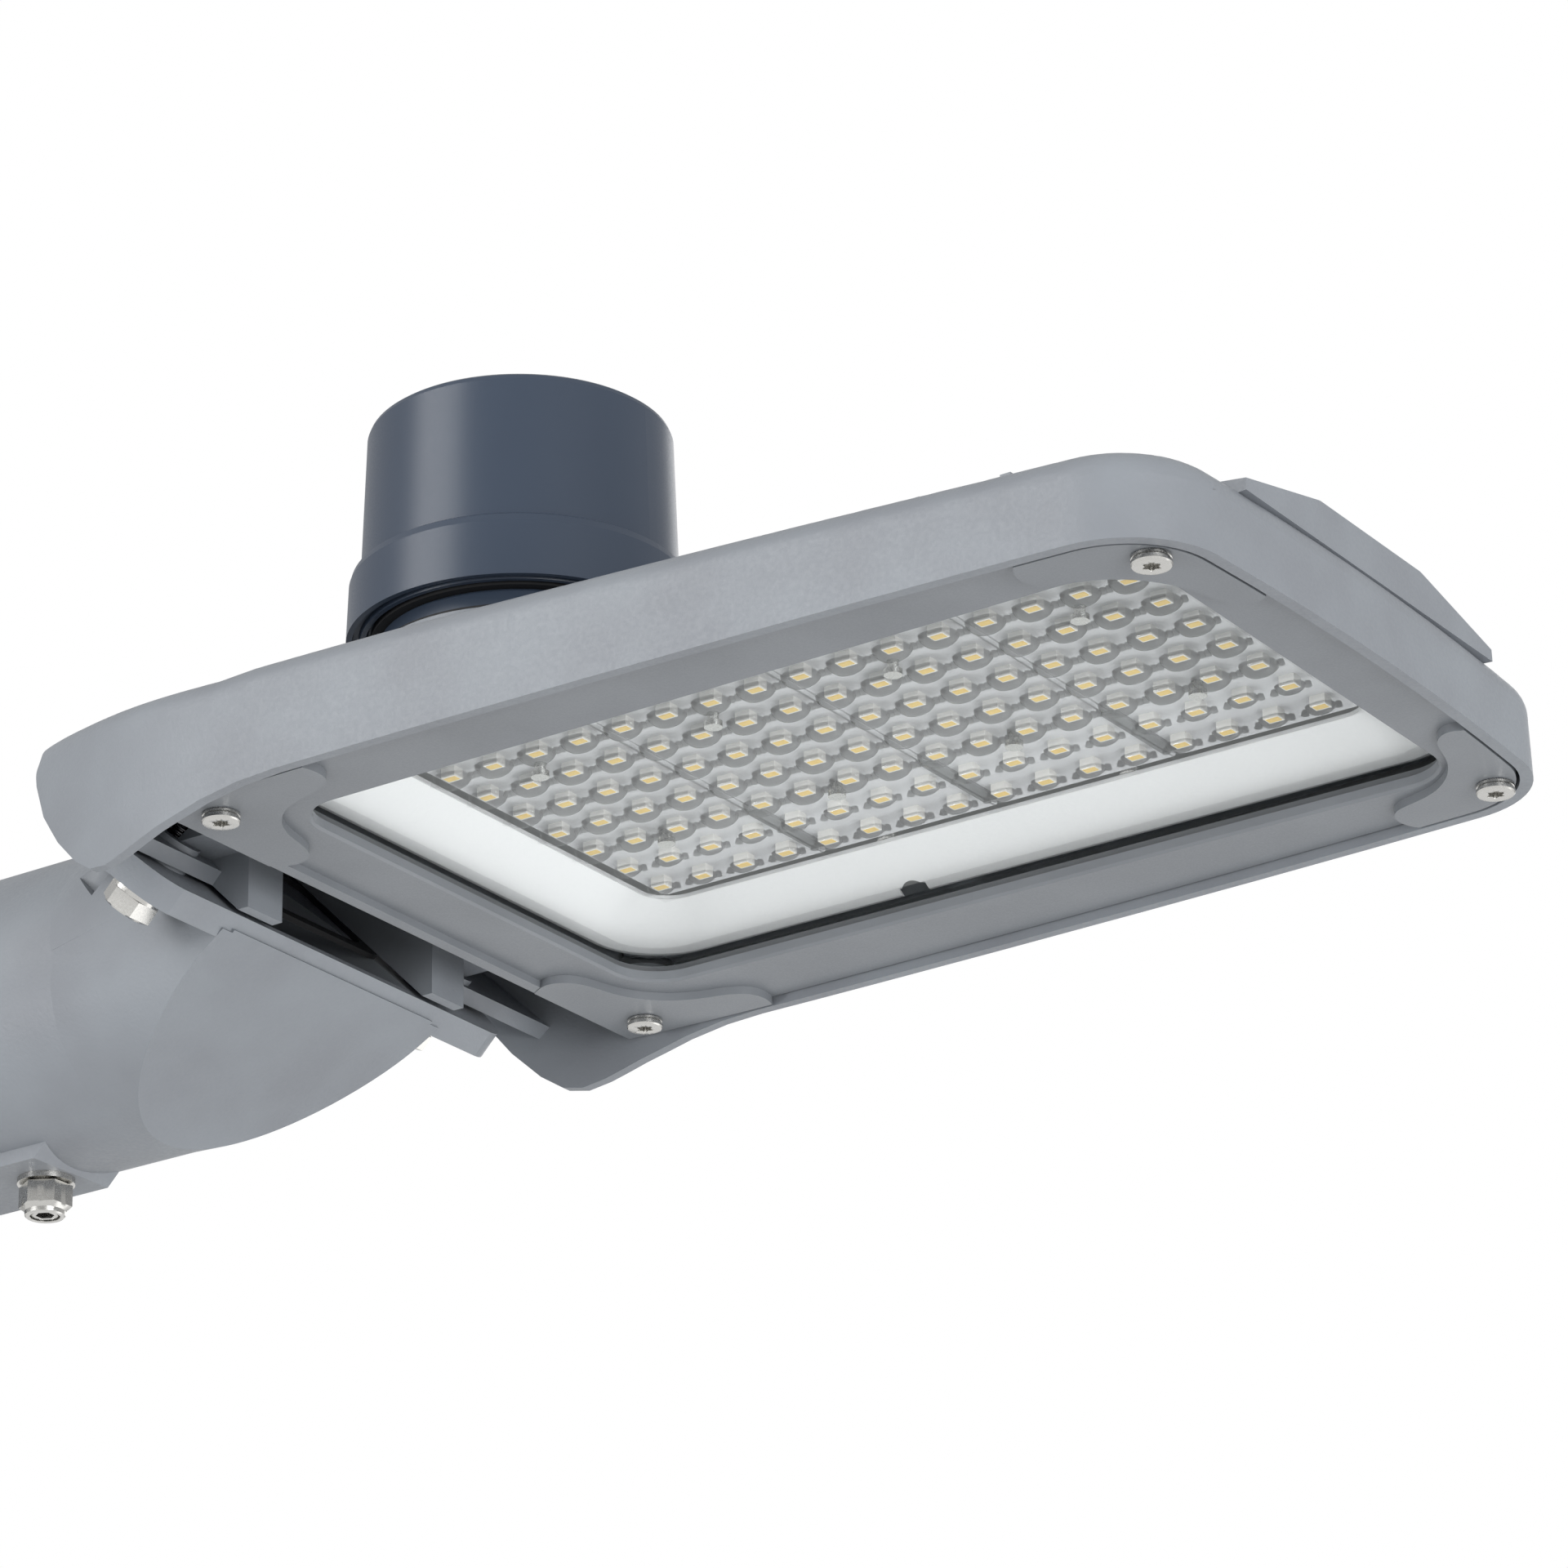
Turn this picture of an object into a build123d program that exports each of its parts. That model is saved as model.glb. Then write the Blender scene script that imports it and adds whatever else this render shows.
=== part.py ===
from build123d import *
import math
import os

os.makedirs("parts", exist_ok=True)

# Driving dimensions, millimetres
MAST_D = 76.0
BORE_R = MAST_D / 2 + 0.25
TUBE_R = BORE_R + 5.25
MAST_DEPTH = 100.0
LED_X = 345.0
LED_Z = 21.8
PITCH_X = 13.7
PITCH_Y = 15.6
COLUMNS = 16
ROWS = 8
SKIRT_T = 3.2
SKIRT_Z = -22.5
PAD_Z = -22.4
LIP_Z = -20.1
LIP_T = 3.1
FLANGE_T = 8.0
SEAL_T = 1.5
NODE_X = -110.0
NODE_Z = 44.5
NODE_R = 46.8
CLAMP_X = (-272.4, -316.4)
FRAME_SCREWS = ((-135.5, 92.3), (135.5, 84.2))
FLANGE_BOLTS = ((8.1, 59.0), (46.0, 46.0))
CARRIER_X = (-112.0, -38.0, 38.0, 112.0)
CARRIER_Y = 68.8
DRIVER_SCREWS = ((-83.0, 7.5), (53.0, -7.5))
WIDE = PITCH_X * COLUMNS / 4
PIN_SPOTS = [((k - 1.5) * WIDE, y) for k in range(4) for y in (-28.2, 28.2)]

# Plan half widths of the body from the mast end to the front corner
SIDE = ((-199.5, 93.2), (-190.0, 97.2), (-180.0, 100.3), (-165.0, 104.0), (-150.0, 106.2),
        (-125.0, 107.4), (-80.0, 107.4), (0.0, 105.8), (60.0, 103.9), (122.0, 101.0))

TUBE_Z = -LED_Z
AXIS_O = (-178.1, -17.7)
S = math.sqrt(0.5)

REAR_PAD = ((-152.0, 59.5), (-147.5, 57.3), (-141.0, 54.4), (-136.0, 56.3), (-132.6, 62.0),
            (-130.8, 70.0), (-127.5, 77.5), (-121.5, 84.0), (-113.0, 88.0), (-105.0, 90.2),
            (-100.5, 93.5), (-99.2, 97.5), (-100.5, 104.5), (-103.0, 112.0))
FRONT_PAD = ((154.0, 52.0), (147.6, 50.0), (141.5, 47.6), (137.0, 51.0), (134.5, 58.0),
             (131.8, 66.0), (127.0, 73.5), (120.0, 79.5), (112.5, 82.5), (106.5, 85.0),
             (104.0, 89.5), (104.3, 94.0), (107.0, 99.0), (112.0, 106.0))

BODY_SIDE = ((156.0, 1.6), (129.0, 2.4), (96.0, 3.2), (28.0, 5.7), (-68.0, 9.1), (-116.0, 10.2),
             (-128.0, 9.8), (-182.0, 12.8), (-195.5, 13.6), (-198.9, 9.0), (-197.0, 0.0),
             (-192.2, -10.5), (-184.4, -20.5), (-176.0, -28.6), (-169.5, -32.8), (-163.5, -33.7),
             (-156.5, -32.2), (-145.0, -28.6), (-130.0, -24.9), (-118.0, -23.1),
             (-106.0, SKIRT_Z), (156.0, SKIRT_Z))

# The housing's raised back: position, top height and half width, shoulder half width and height
HUMP = ((-219.0, 27.0, 52.6, 57.2, 8.0), (-165.0, 37.0, 50.2, 57.2, 8.0),
        (-60.0, 37.0, 50.2, 57.2, 8.0), (40.0, 31.0, 51.7, 57.2, 8.0),
        (132.0, 14.5, 32.0, 58.5, 6.5), (148.6, 11.2, 25.0, 61.0, 3.2))
HUMP_FOOT = 61.6


def at_flange(u, y, n):
    x = AXIS_O[0] - S * u + S * n
    z = AXIS_O[1] + S * u + S * n
    return Plane(origin=(x, y, z), x_dir=(-S, 0, S), z_dir=(S, 0, S))


def rod(radius, z0, z1, x=0.0, y=0.0):
    body = Cylinder(radius, z1 - z0, align=(Align.CENTER, Align.CENTER, Align.MIN))
    return Pos(x, y, z0) * body


def ring(r_out, r_in, z0, z1, x=0.0, y=0.0):
    return rod(r_out, z0, z1, x, y) - rod(r_in, z0 - 1, z1 + 1, x, y)


def block(x0, x1, y0, y1, z0, z1):
    body = Box(x1 - x0, y1 - y0, z1 - z0, align=(Align.MIN, Align.MIN, Align.MIN))
    return Pos(x0, y0, z0) * body


def along_x(radius, x0, x1, z=TUBE_Z):
    body = Cylinder(radius, x1 - x0, align=(Align.CENTER, Align.CENTER, Align.MIN))
    return Pos(x0, 0, z) * Rot(0, 90, 0) * body


def tray(x0, x1, half_y, radius, z0, z1):
    plan = RectangleRounded(x1 - x0, 2 * half_y, radius)
    return Pos((x0 + x1) / 2, 0, z0) * extrude(plan, z1 - z0)


def outline(inset, rear=-199.5):
    side = [(x, w - inset) for x, w in SIDE if x > rear + 3]
    w_rear = [w for x, w in SIDE if x <= rear + 3]
    if w_rear:
        first = [p for p in SIDE if p[0] <= rear + 3][-1]
        after = [p for p in SIDE if p[0] > rear + 3][0]
        k = (rear - first[0]) / (after[0] - first[0])
        side = [(rear, first[1] + k * (after[1] - first[1]) - inset)] + side
    tip = (148.3 - inset, 76.0 - 0.5 * inset)
    mid = (140.6 - 0.75 * inset, 92.8 - 0.75 * inset)
    front = (150.9 - inset, 0.0)
    up = Spline(side)
    down = Spline([(x, -y) for x, y in side])
    c1 = ThreePointArc(side[-1], mid, tip)
    c2 = ThreePointArc((side[-1][0], -side[-1][1]), (mid[0], -mid[1]), (tip[0], -tip[1]))
    nose = ThreePointArc(tip, front, (tip[0], -tip[1]))
    back = Line(side[0], (side[0][0], -side[0][1]))
    return make_face([up, c1, nose, c2, down, back])


def side_cut(points, half_y):
    wire = Polyline(*[(x, z) for x, z in points], close=True)
    face = make_face(wire)
    plane = Plane(origin=(0, half_y, 0), x_dir=(1, 0, 0), z_dir=(0, -1, 0))
    return extrude(plane * face, 2 * half_y)


def flange_side(n_low):
    slab = Box(700, 400, 400, align=(Align.CENTER, Align.CENTER, Align.MIN))
    return at_flange(0, 0, n_low).location * slab


def both(make, *spots):
    out = []
    for spot in spots:
        out.append(make(*spot))
        out.append(make(spot[0], -spot[1]))
    return out


PARTS = {}


def save(name, shape):
    solids = shape if isinstance(shape, list) else [shape]
    flat = []
    for item in solids:
        flat += list(item.solids())
    PARTS[name] = len(flat)
    placed = [Pos(LED_X, 0, LED_Z) * s for s in flat]
    out = placed[0] if len(placed) == 1 else Compound(children=placed)
    export_step(out, "parts/" + name + ".step")


# Housing shell
TOP_LINE = BODY_SIDE[:9]


def under_top(drop):
    pts = [(x, z - drop) for x, z in TOP_LINE]
    pts[0] = (170.0, pts[0][1])
    pts = pts + [(-230.0, pts[-1][1] + 1.5), (-230.0, -70.0), (170.0, -70.0)]
    return side_cut(pts, 130)


def hump_section(x, z, top, shoulder, shoulder_z, foot):
    corners = [(-foot, -10), (-shoulder, shoulder_z), (-top, z), (top, z), (shoulder, shoulder_z),
               (foot, -10)]
    face = make_face(Polyline(*corners, close=True))
    face = fillet(face.vertices().group_by(Axis.Y)[-1], 7)
    return Plane(origin=(x, 0, 0), x_dir=(0, 1, 0), z_dir=(1, 0, 0)) * face


def hump(inset):
    rows = []
    for x, z, top, shoulder, shoulder_z in HUMP:
        spot = x - inset if x > 140 else x + inset if x < -200 else x
        rows.append(hump_section(spot, z - inset, top - inset, shoulder - inset,
                                 shoulder_z - 0.3 * inset, HUMP_FOOT - inset))
    return loft(rows, ruled=True)


def drafted(inset, z0, z1):
    draft = 0.022
    low = Plane.XY.offset(z0) * outline(inset + draft * (z0 - SKIRT_Z))
    high = Plane.XY.offset(z1) * outline(inset + draft * (z1 - SKIRT_Z))
    return loft([low, high], ruled=True)


def housing():
    skin = drafted(0, -40, 20) & side_cut(BODY_SIDE, 130)
    side_top = [e for e in skin.edges() if e.center().Z > 1 and abs(e.center().Y) > 50]
    long_top = [e for e in side_top if e.length > 12 or (e.length > 5 and e.center().Z > 5)]
    skin = fillet(long_top, 8)
    deck = tray(-147.5, 127, 78, 14, -1.5, 12.5)
    deck = chamfer(deck.faces().sort_by(Axis.Z)[-1].edges(), 5)
    back = hump(0) - block(118, 160, -80, 80, -20, 0)
    mouth = drafted(SKIRT_T, -70, 20) & under_top(SKIRT_T)
    body = skin - mouth
    body = body + deck + (back & flange_side(SEAL_T))
    body = body - tray(-143.5, 123.5, 74.5, 12, -10, 9.3)
    body = body - (hump(3.5) & block(-143.5, 118, -80, 80, -20, 60))
    body = body - (hump(3.5) & block(117, 150, -80, 80, -4, 60))
    body = body - (hump(3.5) & block(-215, -147.5, -32.4, 32.4, -60, 60))
    body = body - (hump(3.5) & block(-163.9, -147.5, -80, 80, -60, 60))
    body = body - block(-150, -140, -75, 75, -12, -6)
    # rim that the frame seal closes on
    seat = extrude(Plane.XY.offset(-6) * outline(1.0, -147.5), 12)
    seat = seat - extrude(Plane.XY.offset(-8) * outline(11.5, -140.0), 18)
    wall = extrude(Plane.XY.offset(-6) * outline(2.0, -147.5), 24)
    wall = (wall & block(-147.5, -144, -120, 120, -6, 20)) & skin
    body = body + (seat & skin) + wall
    # slanted bearer behind the frame, with the two feet beside the cable way
    bearer = at_flange(0, 0, SEAL_T).location * Pos(19, 0, 0) * Box(
        40, 240, 4.5, align=(Align.CENTER, Align.CENTER, Align.MIN))
    body = body + ((bearer & skin) - block(-230, -150, -32.4, 32.4, -80, 60))
    for side in (-1, 1):
        foot = block(-214, -164.0, 32.4, 46.6, -26.3, 14) & flange_side(SEAL_T)
        body = body + (foot if side > 0 else mirror(foot, Plane.XZ))
    # screw pillars for the bottom frame
    for x, y in FRAME_SCREWS:
        for s in (-1, 1):
            body = body + (rod(6.2, -9.1, 8, x, s * y) & skin)
            body = body - rod(2.2, -9.5, -0.5, x, s * y)
    for u, y in FLANGE_BOLTS:
        for s in (-1, 1):
            boss = at_flange(u, s * y, 0.1).location * rod(7.6, 0, 7.5 if u < 20 else 14)
            hole = at_flange(u, s * y, 0).location * rod(4.02, -2, 24)
            body = body + boss - hole
    for x in CARRIER_X:
        for y in (-CARRIER_Y, CARRIER_Y):
            body = body + rod(3.6, 4.7, 10, x, y) - rod(1.75, 4, 8, x, y)
    body = body + ring(41.0, 17.5, 34, NODE_Z, NODE_X)
    body = body - rod(19.2, 20, NODE_Z + 1, NODE_X)
    gland = Pos(-150, 0, 14) * Rot(0, 90, 0) * rod(8.2, -2, 12)
    vent = Pos(-150, 44, 1) * Rot(0, 90, 0) * rod(4.2, -2, 12)
    body = body - gland - vent
    # cooling ribs on both shoulders
    for k in range(9):
        x = -118 + 26 * k
        rib = side_cut(((x, 2), (x, 22 - 0.9 * k), (x + 3, 22 - 0.9 * k), (x + 3, 2)), 76)
        keep = block(-150, 127, -76, 76, 9.5, 40) - block(-150, 127, -50, 50, -5, 60)
        piece = rib & keep
        slope = side_cut(((-150, 60), (-150, 0), (130, 0), (130, 60)), 90)
        body = body + (piece & slope)
    return body


save("housing", housing())

# Bottom frame with its four raised corner pads
def pad_area(points, high):
    curve = Spline([(x, y) for x, y in points])
    x0, y0 = points[0]
    x1, y1 = points[-1]
    far_x = -175 if x0 < 0 else 175
    rest = Polyline((x1, y1), (x1, 130), (far_x, 130), (far_x, y0), (x0, y0))
    return extrude(Plane.XY.offset(PAD_Z) * make_face([curve, rest]), high)


def frame_shape():
    plan = outline(SKIRT_T + 0.9, -148.0)
    plate = extrude(Plane.XY.offset(LIP_Z) * plan, LIP_T)
    full = extrude(Plane.XY.offset(PAD_Z) * plan, LIP_T + LIP_Z - PAD_Z)
    raised = None
    for points in (REAR_PAD, FRONT_PAD):
        area = pad_area(points, 6)
        for item in (area, mirror(area, Plane.XZ)):
            piece = full & item
            raised = piece if raised is None else raised + piece
    rim = block(-148, -144.2, -98, 98, LIP_Z - 2.1, LIP_Z + 1)
    wall = extrude(Plane.XY.offset(LIP_Z + LIP_T - 0.1) * plan, 8.5)
    wall = wall - extrude(Plane.XY.offset(-20) * outline(SKIRT_T + 4.6, -144.2), 30)
    shape = plate + raised + rim + wall
    for x, y in FRAME_SCREWS:
        for s in (-1, 1):
            boss = rod(8.4, -17.5, -8.6, x, s * y) - rod(6.9, -9.15, -8, x, s * y)
            shape = shape - rod(6.9, -9.15, -8, x, s * y) + (boss & extrude(Plane.XY.offset(-18) * plan, 12))
    shape = shape - tray(-125.0, 128.6, 77.8, 14, -30, 10)
    for x, y in FRAME_SCREWS:
        for s in (-1, 1):
            shape = shape - rod(2.7, -30, 0, x, s * y)
    return shape


lip_low = Pos(1.8, 0, LIP_Z - 0.7) * RectangleRounded(256.4, 158.4, 15.4)
lip_high = Pos(1.8, 0, LIP_Z + 0.7) * RectangleRounded(253.6, 155.6, 14)
frame = frame_shape() - loft([lip_low, lip_high], ruled=True)
save("bottom_frame", frame)

gasket_plan = extrude(Plane.XY.offset(-8.55) * outline(SKIRT_T + 1.1, -147.0), 2.5)
gasket = gasket_plan - extrude(Plane.XY.offset(-12) * outline(SKIRT_T + 4.4, -144.5), 12)
for x, y in FRAME_SCREWS:
    for s in (-1, 1):
        gasket = gasket + (rod(8.3, -8.55, -6.05, x, s * y) & gasket_plan)
        gasket = gasket - rod(6.9, -12, 0, x, s * y)
save("frame_gasket", gasket)


def frame_screw(x, y):
    head = rod(5.0, PAD_Z - 2.8, PAD_Z - 0.5, x, y) + rod(4.6, PAD_Z - 0.6, PAD_Z, x, y)
    head = chamfer(head.edges().group_by(Axis.Z)[0], 0.3)
    head = head - Pos(x, y, PAD_Z - 3) * extrude(RegularPolygon(2.2, 6), 1.8)
    return head + rod(2.1, PAD_Z - 0.3, -1.0, x, y)


save("frame_screws", both(frame_screw, *FRAME_SCREWS))

# Glass, seal and light tray
save("cover_glass", tray(-131.2, 134.8, 84.0, 23, -15.0, -11.0))
seal = tray(-131.2, 134.8, 84.0, 23, LIP_Z + LIP_T + 0.05, -15.0)
save("glass_seal", seal - tray(-126.0, 129.6, 78.8, 14, -30, 0))


def funnel(grow, z0, z1):
    low = Pos(1.9, 0, z0) * RectangleRounded(262.0 + 2 * grow, 163.4 + 2 * grow, 21)
    high = Pos(0, 0, z1) * RectangleRounded(223.6 + 2 * grow, 133.8 + 2 * grow, 9)
    return loft([low, high])


shade = funnel(0.9, -10.8, -1.2) - funnel(0.0, -10.85, -1.15)
shade = shade + (tray(-117, 117, 71.5, 11, -1.4, -0.4) - tray(-111.8, 111.8, 66.9, 9, -2, 0))
shade = shade - rod(4.2, -14, -7.6, -38, 82.6) - block(-42.2, -33.8, 77, 90, -14, -9.4)
save("reflector_tray", shade)

# Lamp boards, lamps and lenses
def columns(k):
    return [(k * 4 + i - 7.5) * PITCH_X for i in range(4)]


boards = []
plates = []
for k in range(4):
    xc = (k - 1.5) * WIDE
    board = Pos(xc, 0, 0) * extrude(RectangleRounded(WIDE - 0.6, 130.6, 2), 1.6)
    plate = Pos(xc, 0, -2.3) * extrude(RectangleRounded(WIDE - 0.5, 131.0, 2.5), 1.3)
    for x in columns(k):
        for j in range(ROWS):
            y = (3.5 - j) * PITCH_Y
            r0, r1, h = (4.0, 2.4, 2.6) if j < 2 else (5.2, 3.3, 3.4)
            plate = plate + Pos(x, y, -2.2 - h / 2) * Rot(180, 0, 0) * Cone(r0, r1, h)
    for x, y in PIN_SPOTS:
        if abs(x - xc) < WIDE / 2:
            board = board - rod(1.7, -1, 3, x, y)
            plate = plate - rod(1.7, -4, 3, x, y)
    boards.append(board)
    plates.append(plate)
save("led_boards", boards)
save("lens_plates", plates)
lamps = []
for k in range(4):
    for x in columns(k):
        for j in range(ROWS):
            lamps.append(Pos(x, (3.5 - j) * PITCH_Y, -0.35) * Box(3.0, 3.0, 0.7))
save("led_packages", lamps)
pins = [rod(2.4, -3.9, -2.35, x, y) + rod(1.45, -2.4, 4.4, x, y) for x, y in PIN_SPOTS]
save("lens_screws", pins)
links = []
for k in range(3):
    x = (k - 1) * WIDE
    links.append(block(x - 2.2, x + 2.2, 30.0, 60.0, -0.95, -0.05))
save("board_links", links)

# Metal plate that carries boards and driver
carrier = tray(-140, 120, 72.6, 6, 1.65, 4.6)
for x in CARRIER_X:
    for y in (-CARRIER_Y, CARRIER_Y):
        carrier = carrier - rod(1.8, 0, 6, x, y)
for x, y in PIN_SPOTS:
    carrier = carrier - rod(1.5, 0, 6, x, y)
for x, y in DRIVER_SCREWS:
    carrier = carrier - rod(2.0, 0, 6, x, y)
save("carrier_plate", carrier)


def carrier_screw(x, y):
    return rod(3.1, -0.3, 1.6, x, y) + rod(1.7, 1.4, 7.0, x, y)


save("carrier_screws", both(carrier_screw, *[(x, CARRIER_Y) for x in CARRIER_X]))

# Driver and wiring parts above the plate
case = fillet(block(-78, 48, -31, 31, 4.65, 25.2).edges().filter_by(Axis.Z), 3)
case = case + block(-88, 58, -12, 12, 4.65, 7.0)
case = chamfer(case.faces().sort_by(Axis.Z)[-1].edges(), 1.5)
for x, y in DRIVER_SCREWS:
    case = case - rod(2.2, 0, 10, x, y)
save("driver", case)
stubs = [rod(3.8, 7.05, 9.4, x, y) + rod(1.95, 2.0, 7.1, x, y) for x, y in DRIVER_SCREWS]
save("driver_screws", stubs)
terminal = block(-132, -106, -19, 19, 4.65, 17)
terminal = terminal - block(-133, -123, -20, 20, 12.5, 20)
for k in range(5):
    terminal = terminal - rod(2.4, 13, 20, -115, -15 + 7.5 * k)
    terminal = terminal - block(-134, -125, -17.4 + 7.5 * k, -12.6 + 7.5 * k, 7, 11.5)
save("terminal_block", terminal)


def hexagon(across, z0, z1):
    return Pos(0, 0, z0) * extrude(RegularPolygon(across / 2, 6, major_radius=False), z1 - z0)


gland = hexagon(24, -9.5, -4.5) + ring(8.0, 5.0, -4.6, 9.0) + rod(10.6, -20, -9.4)
gland = fillet(gland.edges().group_by(Axis.Z)[0], 3)
gland = gland - rod(5.0, -30, 12)
save("cable_gland", Pos(-143, 0, 14) * Rot(0, 90, 0) * gland)
vent = hexagon(13, -7.6, -4.6) + rod(4.1, -4.7, 3.0)
save("vent_plug", Pos(-143, 44, 1) * Rot(0, 90, 0) * vent)

# Control node, its turning socket and seals
TOP = NODE_Z
socket = rod(38.0, TOP + 1.0, TOP + 6.4, NODE_X) + rod(19.0, TOP - 18, TOP + 1.2, NODE_X)
socket = fillet(socket.edges().group_by(Axis.Z)[-1], 0.8)
socket = socket - rod(4.0, TOP + 4.0, TOP + 8, NODE_X)
for a in (90, 210, 330):
    slot = Rot(0, 0, a) * (ring(12.4, 10.2, 0, 9) & block(4, 16, -7, 7, -1, 10))
    socket = socket - Pos(NODE_X, 0, TOP - 0.5) * slot
save("node_socket", socket)
save("socket_gasket", ring(40.2, 20.0, TOP + 0.02, TOP + 0.98, NODE_X))
save("node_gasket", ring(40.2, 34.5, TOP + 6.45, TOP + 8.4, NODE_X))

RIM_Z = 51.1
profile = Polyline((0, 53.0), (40.8, 53.0), (41.6, RIM_Z + 0.2), (43.0, RIM_Z + 0.2),
                   (43.4, 52.6), (44.8, 52.6), (45.2, RIM_Z), (NODE_R, RIM_Z), (46.2, 67.0),
                   (45.6, 69.0), (44.2, 69.9), (0, 69.9), close=True)
base = Pos(NODE_X, 0, 0) * revolve(Plane.XZ * make_face(profile), Axis.Z)
save("node_base", base)
cap = Polyline((0, 69.95), (43.1, 69.95), (41.76, 110.8), (41.3, 112.0), (40.3, 112.75), (38.6, 113.0),
               (0, 113.2), close=True)
save("node_cap", Pos(NODE_X, 0, 0) * revolve(Plane.XZ * make_face(cap), Axis.Z))
blades = []
for a in (90, 210, 330):
    blade = (ring(12.0, 10.6, 1.2, 8.48) & block(4, 16, -2.4, 2.4, -1, 10))
    blades.append(Pos(NODE_X, 0, TOP) * Rot(0, 0, a) * blade)
save("node_contacts", blades)

# Mast adaptor
def facet(inset, side):
    # everything below (MAX) or above (MIN) the slanted cut under the neck
    slope = math.degrees(math.atan(0.61))
    slab = Box(600, 400, 300, align=(Align.MIN, Align.CENTER, side))
    return Pos(-229.5 - inset, 0, -65.3) * Rot(0, -slope, 0) * Pos(-300, 0, 0) * slab


def adaptor_shape():
    tube = along_x(TUBE_R, -LED_X, -160)
    mouth = at_flange(-5.8, 0, -5.0).location * RectangleRounded(120.0, 93.0, 44.0)
    start = Plane(origin=(-238, 0, TUBE_Z), x_dir=(0, 0, 1), z_dir=(1, 0, 0))
    fan = loft([start.location * RectangleRounded(86.6, 86.6, 43.2), mouth])
    body = (tube + fan) - flange_side(-4.0)
    side = Spline((-12.4, 66), (-9, 72.5), (-1, 76.8), (9, 79.0), (15.4, 76.0), (23, 67.5), (34, 60.5),
                  (46, 58.6), (55, 53.0), (58, 43.0))
    half = make_face([side, Polyline((58, 43), (58, 0), (-12.4, 0), (-12.4, 66))])
    plan = half + mirror(half, Plane.XZ)
    plate = at_flange(0, 0, -FLANGE_T).location * extrude(plan, FLANGE_T)
    body = body + plate
    body = body - facet(0, Align.MAX)
    keel = side_cut(((-338, -40), (-338, -61), (-332, -66.4), (-263.5, -66.4), (-257.5, -60.5),
                     (-257.5, -40)), 15.5)
    body = body + (keel - along_x(BORE_R + 1, -360, -240))
    body = body - along_x(BORE_R, -LED_X - 1, MAST_DEPTH - LED_X)
    body = body - (along_x(32.0, -250, -140) & facet(10.0, Align.MIN))
    for u, y in FLANGE_BOLTS:
        for s in (-1, 1):
            body = body - at_flange(u, s * y, -20).location * rod(4.5, -10, 40)
            body = body - at_flange(u, s * y, -FLANGE_T).location * rod(9.0, -16, 0)
    for x in CLAMP_X:
        body = body - rod(4.02, -80, -50, x)
    return body


save("mast_adaptor", adaptor_shape())
ring_plan = Pos(30, 0) * RectangleRounded(48, 74, 12) - Pos(30, 0) * RectangleRounded(38, 62, 8)
save("flange_gasket", at_flange(0, 0, 0.03).location * extrude(ring_plan, SEAL_T - 0.06))


def place_on_flange(shape):
    out = []
    for u, y in FLANGE_BOLTS:
        for s in (-1, 1):
            out.append(at_flange(u, s * y, -FLANGE_T).location * shape)
    return out


bolt = hexagon(13, -8.9, -3.65) + rod(3.98, -4.0, 20.0)
bolt = chamfer(bolt.edges().group_by(Axis.Z)[-1], 0.8)
save("flange_bolts", place_on_flange(bolt))
save("flange_washers", place_on_flange(ring(8.0, 4.2, -1.6, -0.02)))
spring = ring(7.2, 4.15, -3.6, -1.65) - Rot(0, 0, 20) * block(3, 9, -0.5, 0.5, -6, 2)
save("spring_washers", place_on_flange(spring))

# Mast clamp screws with their lock nuts
for name, x in zip(("clamp_screw_front", "clamp_screw_rear"), CLAMP_X):
    stud = rod(3.98, -77.0, -60.4, x)
    stud = chamfer(stud.edges().group_by(Axis.Z)[-1], 0.8)
    stud = stud - Pos(x, 0, -78) * extrude(RegularPolygon(2.3, 6), 5.5)
    save(name, stud)
nut = (hexagon(13, -7.9, 0) & rod(7.35, -8, 1)) + rod(5.6, -9.4, -7.8)
nut = nut - rod(4.05, -12, 2)
save("clamp_nuts", [Pos(x, 0, -68.05) * nut for x in CLAMP_X])
save("clamp_washers", [ring(8.0, 4.25, -68.0, -66.42, x) for x in CLAMP_X])

print(len(PARTS), "nodes", sum(PARTS.values()), "solids")
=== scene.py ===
import bpy
import bmesh
import math
from mathutils import Matrix, Vector


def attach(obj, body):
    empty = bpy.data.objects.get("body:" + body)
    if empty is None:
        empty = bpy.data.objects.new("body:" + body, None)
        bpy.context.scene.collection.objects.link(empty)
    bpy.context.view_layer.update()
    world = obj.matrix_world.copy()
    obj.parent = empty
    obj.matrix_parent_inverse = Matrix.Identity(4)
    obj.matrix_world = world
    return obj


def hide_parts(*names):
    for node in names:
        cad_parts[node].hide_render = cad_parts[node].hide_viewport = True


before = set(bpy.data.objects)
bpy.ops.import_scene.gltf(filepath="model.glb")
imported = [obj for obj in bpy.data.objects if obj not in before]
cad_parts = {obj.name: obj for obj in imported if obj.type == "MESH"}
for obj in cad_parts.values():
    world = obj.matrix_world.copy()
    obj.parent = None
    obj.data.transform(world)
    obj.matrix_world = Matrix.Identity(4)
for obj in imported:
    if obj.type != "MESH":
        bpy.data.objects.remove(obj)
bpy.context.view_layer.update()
print("frame loaded")

mm = 0.001
ledCentre = Vector((0.345, 0.0, 0.0218))  # middle of the lamp field, on the boards' face


# Small helpers

def toLinear(hexText, alpha=1.0):
    parts = [int(hexText[i:i + 2], 16) / 255 for i in (1, 3, 5)]
    return [c / 12.92 if c <= 0.04045 else ((c + 0.055) / 1.055) ** 2.4 for c in parts] + [alpha]


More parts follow.
